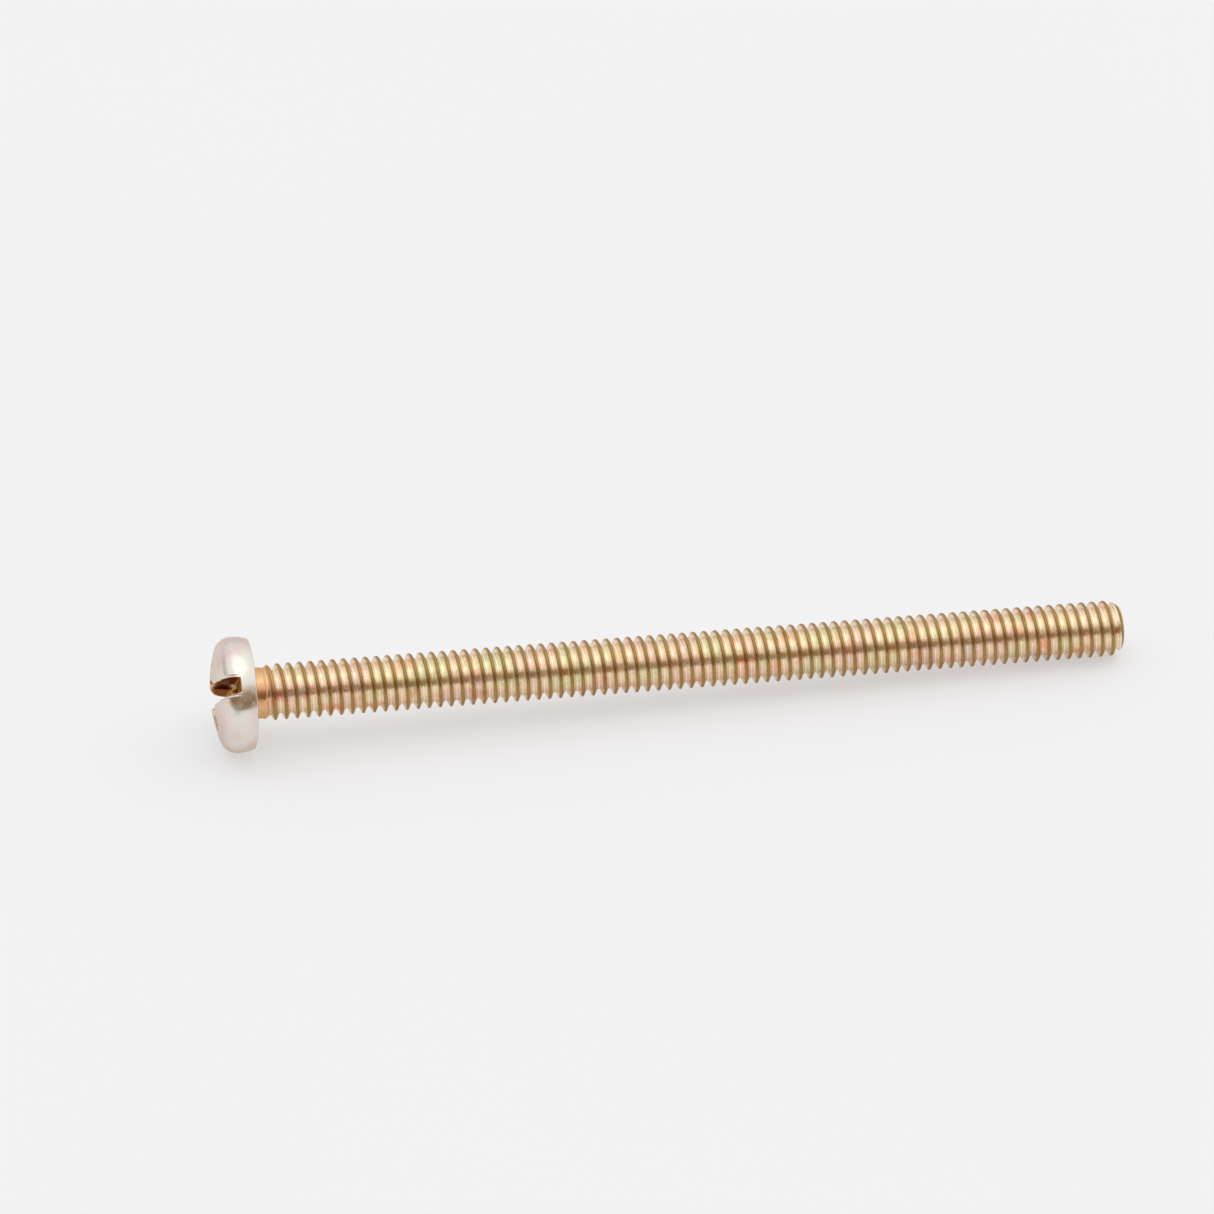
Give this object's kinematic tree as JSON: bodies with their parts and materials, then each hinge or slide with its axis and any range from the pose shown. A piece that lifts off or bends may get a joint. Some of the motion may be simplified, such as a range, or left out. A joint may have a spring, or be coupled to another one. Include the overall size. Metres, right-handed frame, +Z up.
{
  "type": "machine screw",
  "caption": "Pan head machine screw with a combined slot and cross recess, a short plain neck and a full-length thread, plated in yellow zinc.",
  "frame": {"origin": "centre of the flat bearing ring under the head, on the screw's axis", "axes": "+X along the axis from the head to the tip, +Z up as the screw lies on a surface, +Y to the left when looking from the head to the tip"},
  "size_m": [0.0663, 0.0082, 0.0082],
  "materials": {
    "yellow_zinc": "steel plated in yellow chromated zinc, glossy, with faint rainbow tints"
  },
  "bodies": {
    "root": {"screw": "yellow_zinc"}
  },
  "joints": []
}
